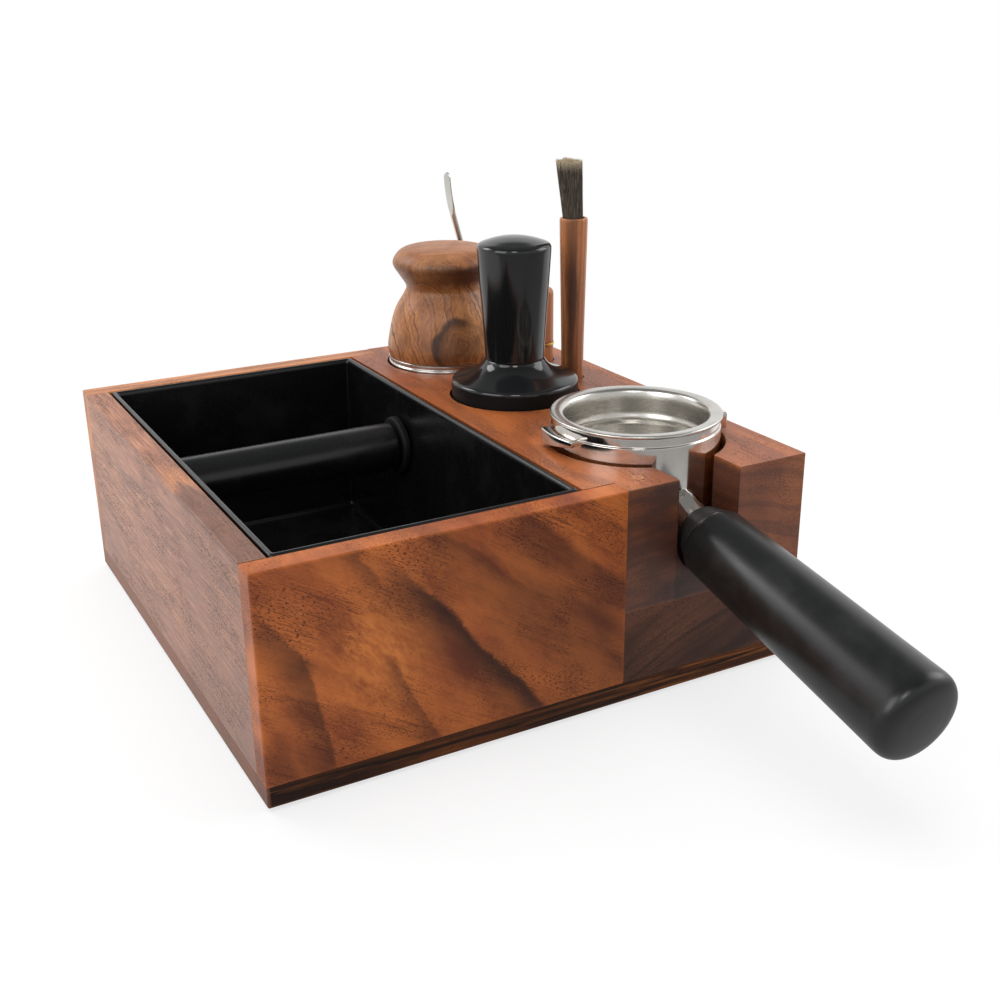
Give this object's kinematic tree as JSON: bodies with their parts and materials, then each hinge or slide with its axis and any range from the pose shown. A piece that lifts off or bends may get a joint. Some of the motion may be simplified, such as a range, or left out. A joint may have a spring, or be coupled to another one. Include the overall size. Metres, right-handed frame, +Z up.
{
  "type": "espresso tamping station",
  "caption": "Wooden espresso tamping station: a box with a lift-out knock tray beside a thick block whose pockets hold a portafilter, a tamper, a distributor, a brush and slim tools.",
  "frame": {"origin": "centre of the bounding box in X and Y, on the plane the foot pads stand on", "axes": "+Z up; -Y is the front, where the portafilter handle points; +X to the right, so the knock tray is on the left"},
  "size_m": [0.23, 0.3576, 0.1922],
  "materials": {
    "base_wood": "satin oiled, dark with golden streaks",
    "panel_wood": "satin oiled, honey brown with near-black bands",
    "riser_wood": "satin oiled, very dark",
    "block_wood": "satin oiled, reddish brown",
    "plug_wood": "satin oiled, pale",
    "fastener_steel": "zinc plated",
    "foot_rubber": "matt",
    "tray_plastic": "satin black",
    "bar_rubber": "satin black",
    "tamper_black": "gloss black",
    "distributor_steel": "polished",
    "distributor_wood": "satin oiled, swirled grain",
    "portafilter_chrome": "polished",
    "basket_steel": "polished",
    "grip_plastic": "satin black",
    "brush_wood": "satin oiled",
    "bristle_hair": "natural hair with pale tips",
    "needle_tool_wood": "satin oiled, light orange",
    "ring_brass": "polished",
    "pen_steel": "polished"
  },
  "bodies": {
    "station": {"base_board": "base_wood", "front_panel": "panel_wood", "left_panel": "panel_wood", "back_panel": "panel_wood", "riser_front": "riser_wood", "riser_back": "riser_wood", "riser_right": "riser_wood", "riser_partition": "riser_wood", "station_block": "block_wood", "cheek_plug": "plug_wood", "base_screw_1": "fastener_steel", "base_screw_2": "fastener_steel", "base_screw_3": "fastener_steel", "base_screw_4": "fastener_steel", "base_screw_5": "fastener_steel", "base_screw_6": "fastener_steel", "foot_pad_1": "foot_rubber", "foot_pad_2": "foot_rubber", "foot_pad_3": "foot_rubber", "foot_pad_4": "foot_rubber"},
    "tray": {"knock_tray": "tray_plastic", "bar_rod": "fastener_steel", "bar_sleeve": "bar_rubber", "bar_flange_right": "tray_plastic", "bar_flange_left": "tray_plastic", "bar_screw_right": "fastener_steel", "bar_screw_left": "fastener_steel"},
    "tamper": {"tamper_base": "tamper_black", "tamper_handle": "tamper_black", "tamper_stud": "fastener_steel"},
    "distributor": {"distributor_base": "distributor_steel", "distributor_handle": "distributor_wood", "distributor_stud": "fastener_steel"},
    "portafilter": {"portafilter_body": "portafilter_chrome", "basket_spring": "fastener_steel", "handle_collar": "grip_plastic", "handle_grip": "grip_plastic", "handle_stud": "fastener_steel"},
    "basket": {"filter_basket": "basket_steel"},
    "brush": {"brush_handle": "brush_wood", "brush_bristles": "bristle_hair"},
    "needle_tool": {"needle_tool_stem": "needle_tool_wood", "needle_tool_ring": "ring_brass", "needle_tool_handle": "needle_tool_wood", "needle_tool_needles": "fastener_steel"},
    "pen": {"latte_pen": "pen_steel"}
  },
  "joints": [
    {"name": "tray_lift", "type": "slide", "parent": "station", "child": "tray", "axis": [0, 0, 1], "range_m": [0, 0.09]},
    {"name": "tamper_lift", "type": "slide", "parent": "station", "child": "tamper", "axis": [0, 0, 1], "range_m": [0, 0.05]},
    {"name": "distributor_lift", "type": "slide", "parent": "station", "child": "distributor", "axis": [0, 0, 1], "range_m": [0, 0.05]},
    {"name": "portafilter_lift", "type": "slide", "parent": "station", "child": "portafilter", "axis": [0, 0, 1], "range_m": [0, 0.06]},
    {"name": "basket_lift", "type": "slide", "parent": "portafilter", "child": "basket", "axis": [0, 0, 1], "range_m": [0, 0.04]},
    {"name": "brush_lift", "type": "slide", "parent": "station", "child": "brush", "axis": [0, 0, 1], "range_m": [0, 0.045]},
    {"name": "needle_tool_lift", "type": "slide", "parent": "station", "child": "needle_tool", "axis": [0, 0, 1], "range_m": [0, 0.06]},
    {"name": "pen_lift", "type": "slide", "parent": "station", "child": "pen", "axis": [-0.2676, 0, 0.9635], "range_m": [0, 0.045]}
  ]
}
